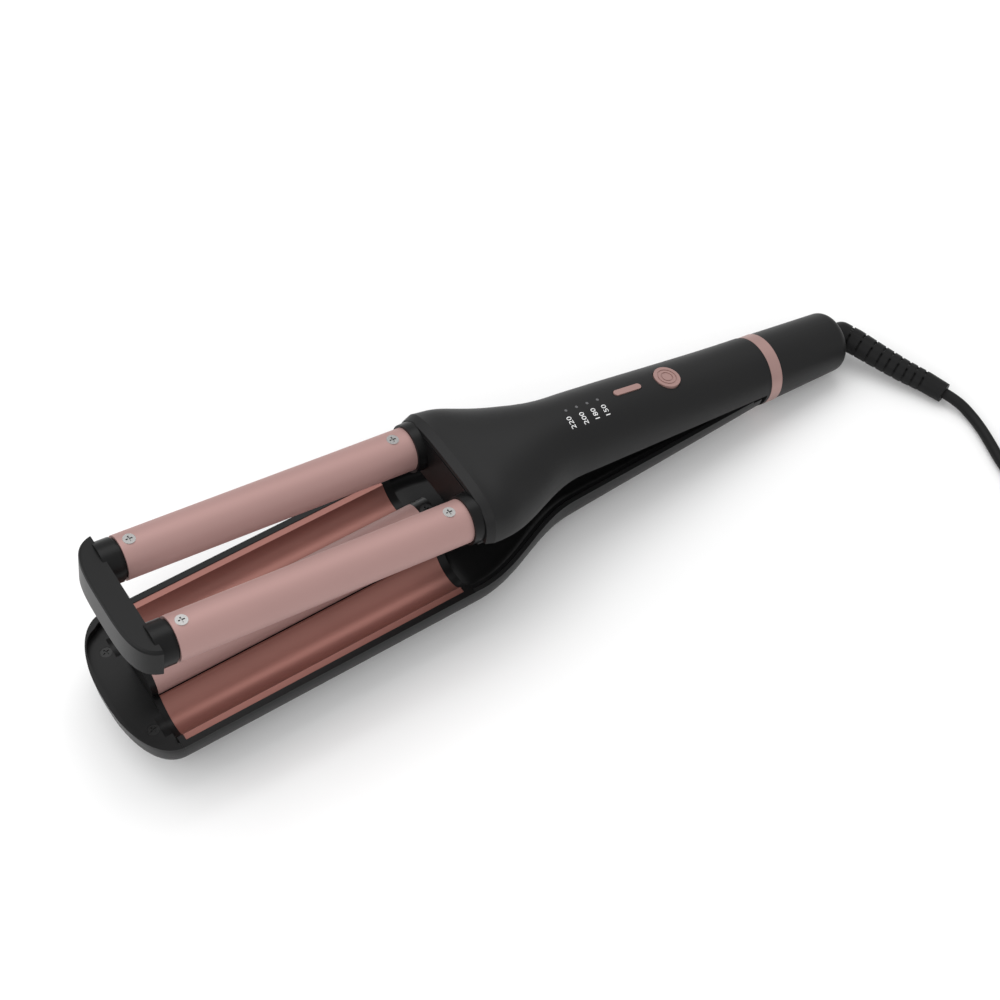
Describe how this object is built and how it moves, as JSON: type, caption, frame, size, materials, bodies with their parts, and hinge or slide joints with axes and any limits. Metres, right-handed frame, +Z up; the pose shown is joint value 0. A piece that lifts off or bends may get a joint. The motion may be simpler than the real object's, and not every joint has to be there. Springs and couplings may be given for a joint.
{
  "type": "hair waver",
  "caption": "corded hair waver with barrels on a handle arm closing into a channelled jaw worked by a lever, sprung rear hinge, push controls, cord swivel and coiled cord",
  "frame": {"origin": "on the resting surface, under the middle of the tool's box (cord left out), on the symmetry plane", "axes": "+X along the barrels towards the front end, +Y across towards the left barrel, +Z up off the surface the jaw lies on"},
  "size_m": [0.5213, 0.234, 0.0929],
  "materials": {
    "barrel_metal": "satin rose-brown coated tube",
    "plate_metal": "satin rose-brown coated sheet",
    "shell_plastic": "fine matte black",
    "holder_plastic": "fine matte black, heat resistant",
    "trim_metal": "satin rose-brown anodised",
    "button_plastic": "satin rose-brown metallic plastic",
    "screw_steel": "plain steel",
    "screw_dark": "blackened steel",
    "pin_steel": "plain steel",
    "clamp_metal": "plain",
    "heater_ceramic": "plain",
    "lead_sleeve": "glass-silicone sleeve",
    "board_laminate": "laminate",
    "lamp_clear": "clear",
    "swivel_plastic": "fine matte black",
    "contact_brass": "plain",
    "cord_rubber": "soft matte black",
    "tie_rubber": "woven hook tape"
  },
  "bodies": {
    "barrel_arm": {"barrel_left": "barrel_metal", "barrel_right": "barrel_metal", "barrel_screws": "screw_steel", "barrel_clamps": "clamp_metal", "barrel_heaters": "heater_ceramic", "barrel_leads": "lead_sleeve", "nose_block": "holder_plastic", "front_bridge": "holder_plastic", "top_housing": "shell_plastic", "under_cover": "shell_plastic", "cover_screws": "screw_steel", "trim_ring": "trim_metal", "rear_cap": "shell_plastic", "swivel_socket": "swivel_plastic", "circuit_board": "board_laminate", "board_parts": "board_laminate", "tact_switches": "board_laminate", "indicator_leds": "lamp_clear", "light_pipes": "lamp_clear", "mains_lead_left": "lead_sleeve", "mains_lead_right": "lead_sleeve", "hinge_springs": "pin_steel"},
    "jaw_arm": {"jaw_shell": "shell_plastic", "jaw_frame": "holder_plastic", "jaw_shell_screws": "screw_steel", "channel_plate_left": "plate_metal", "channel_plate_right": "plate_metal", "channel_saddles": "clamp_metal", "channel_heaters": "heater_ceramic", "jaw_front_cap": "holder_plastic", "jaw_cap_screws": "screw_dark", "centre_barrel": "barrel_metal", "centre_clamp": "clamp_metal", "centre_heater": "heater_ceramic", "holder_screw": "screw_dark", "lever_cover": "holder_plastic", "hinge_pin": "pin_steel", "jaw_leads": "lead_sleeve"},
    "power_button": {"power_button": "button_plastic"},
    "level_button": {"level_button": "button_plastic"},
    "cord_swivel": {"swivel_plug": "swivel_plastic", "contact_rings": "contact_brass", "strain_relief": "cord_rubber", "power_cord": "cord_rubber", "cord_coil": "cord_rubber", "cord_tie": "tie_rubber", "cord_tail": "cord_rubber", "mains_plug": "cord_rubber", "plug_pins": "contact_brass"}
  },
  "joints": [
    {"name": "jaw_hinge", "type": "hinge", "parent": "barrel_arm", "child": "jaw_arm", "pos_m": [-0.13528, 0, 0.01745], "axis": [0, 1, 0], "range_deg": [-9.1, 0], "stiffness_Nm_per_rad": 2, "springref_deg": 28.65},
    {"name": "power_press", "type": "slide", "parent": "barrel_arm", "child": "power_button", "axis": [0.246, 0, -0.9693], "range_m": [0, 0.0006], "stiffness_N_per_m": 500, "springref_m": -0.002},
    {"name": "level_press", "type": "slide", "parent": "barrel_arm", "child": "level_button", "axis": [0.2411, 0, -0.9705], "range_m": [0, 0.0006], "stiffness_N_per_m": 500, "springref_m": -0.002},
    {"name": "cord_swivel_turn", "type": "hinge", "parent": "barrel_arm", "child": "cord_swivel", "pos_m": [-0.19681, 0, 0.01402], "axis": [0.9874, 0, 0.1582], "continuous": true}
  ]
}
